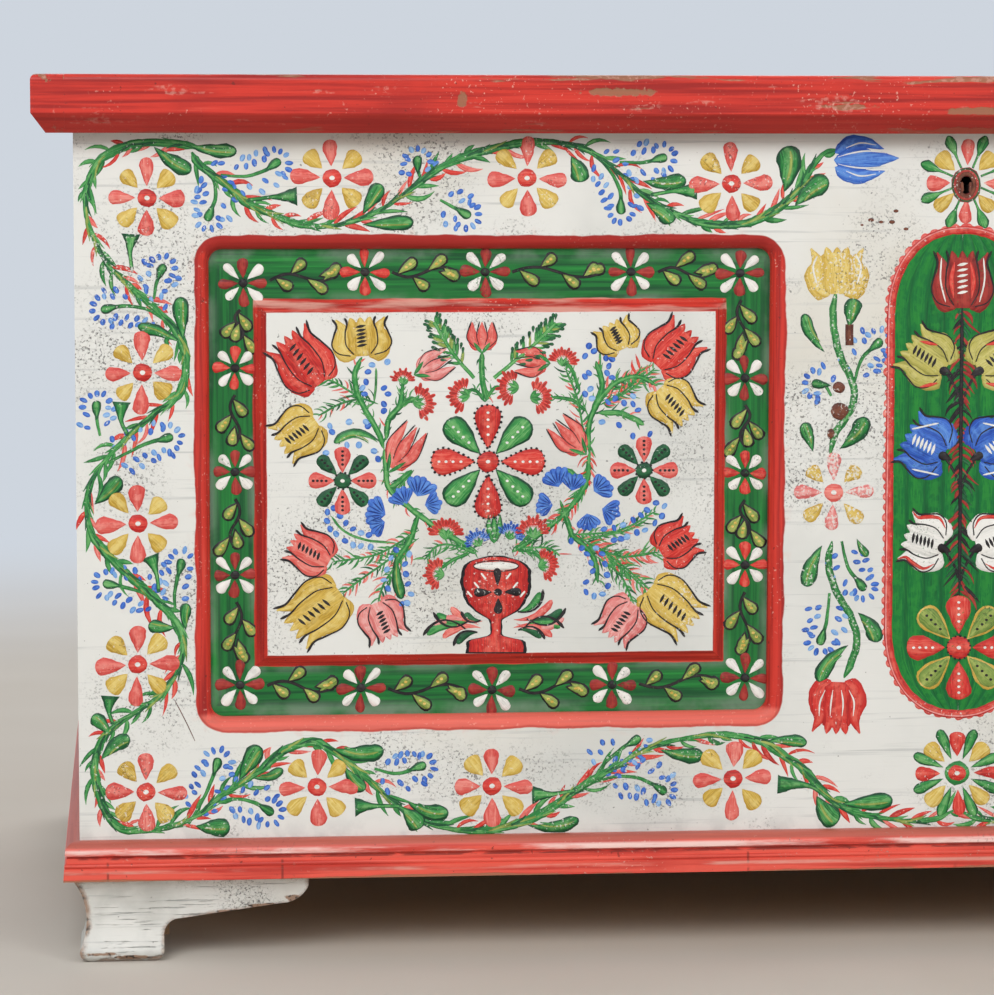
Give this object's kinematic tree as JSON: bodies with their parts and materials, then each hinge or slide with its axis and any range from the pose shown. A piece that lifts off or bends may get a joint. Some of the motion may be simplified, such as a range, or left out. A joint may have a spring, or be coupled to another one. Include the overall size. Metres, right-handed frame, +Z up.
{
  "type": "dowry chest",
  "caption": "Painted wooden dowry chest with a hinged lid, sunk fielded front panels, bracket feet, an inside till and a box lock.",
  "frame": {"origin": "on the floor under the middle of the whole chest", "axes": "+X to the right as seen from the front, +Y to the back, +Z up"},
  "size_m": [1.254, 0.599, 0.598],
  "materials": {
    "white_painted_wood": "worn chalky white paint with traditional painted ornament",
    "red_painted_wood": "worn red paint",
    "bare_pine": "planed pine, unpainted",
    "forged_iron": "dark forged iron"
  },
  "bodies": {
    "carcase": {"front_board": "white_painted_wood", "fielded_panel_left": "white_painted_wood", "fielded_panel_right": "white_painted_wood", "side_board_left": "white_painted_wood", "side_board_right": "white_painted_wood", "back_plank_lower": "bare_pine", "back_plank_upper": "bare_pine", "bottom_plank_front": "bare_pine", "bottom_plank_middle": "bare_pine", "bottom_plank_rear": "bare_pine", "base_moulding_front": "red_painted_wood", "base_moulding_left": "red_painted_wood", "base_moulding_right": "red_painted_wood", "foot_front_left_face": "white_painted_wood", "foot_front_left_return": "white_painted_wood", "foot_front_right_face": "white_painted_wood", "foot_front_right_return": "white_painted_wood", "foot_rear_left_return": "white_painted_wood", "foot_rear_left_brace": "white_painted_wood", "foot_rear_right_return": "white_painted_wood", "foot_rear_right_brace": "white_painted_wood", "foot_blocks": "bare_pine", "till_front": "bare_pine", "till_bottom": "bare_pine", "hinge_leaf_left": "forged_iron", "hinge_leaf_right": "forged_iron", "hinge_pin_left": "forged_iron", "hinge_pin_right": "forged_iron", "hinge_leaf_nails": "forged_iron", "lock_plate": "forged_iron", "lock_nails": "forged_iron", "lock_case": "forged_iron", "key_pin": "forged_iron", "bolt_keepers": "forged_iron", "bolt_spring": "forged_iron"},
    "lid": {"lid_plank_front": "red_painted_wood", "lid_plank_middle": "red_painted_wood", "lid_plank_rear": "red_painted_wood", "lid_moulding_front": "red_painted_wood", "lid_cleat_left": "red_painted_wood", "lid_cleat_right": "red_painted_wood", "hinge_strap_left": "forged_iron", "hinge_strap_right": "forged_iron", "hinge_strap_nails": "forged_iron", "lock_staple": "forged_iron", "lock_staple_nails": "forged_iron"},
    "lock_bolt": {"lock_bolt": "forged_iron"},
    "till_lid": {"till_lid": "bare_pine"}
  },
  "joints": [
    {"name": "lid_hinge", "type": "hinge", "parent": "carcase", "child": "lid", "pos_m": [0, 0.2935, 0.568], "axis": [-1, 0, 0], "range_deg": [0, 100]},
    {"name": "till_lid_hinge", "type": "hinge", "parent": "carcase", "child": "till_lid", "pos_m": [-0.562, 0, 0.449], "axis": [0, -1, 0], "range_deg": [0, 94]},
    {"name": "lock_bolt_slide", "type": "slide", "parent": "carcase", "child": "lock_bolt", "axis": [1, 0, 0], "range_m": [0, 0.016]}
  ]
}
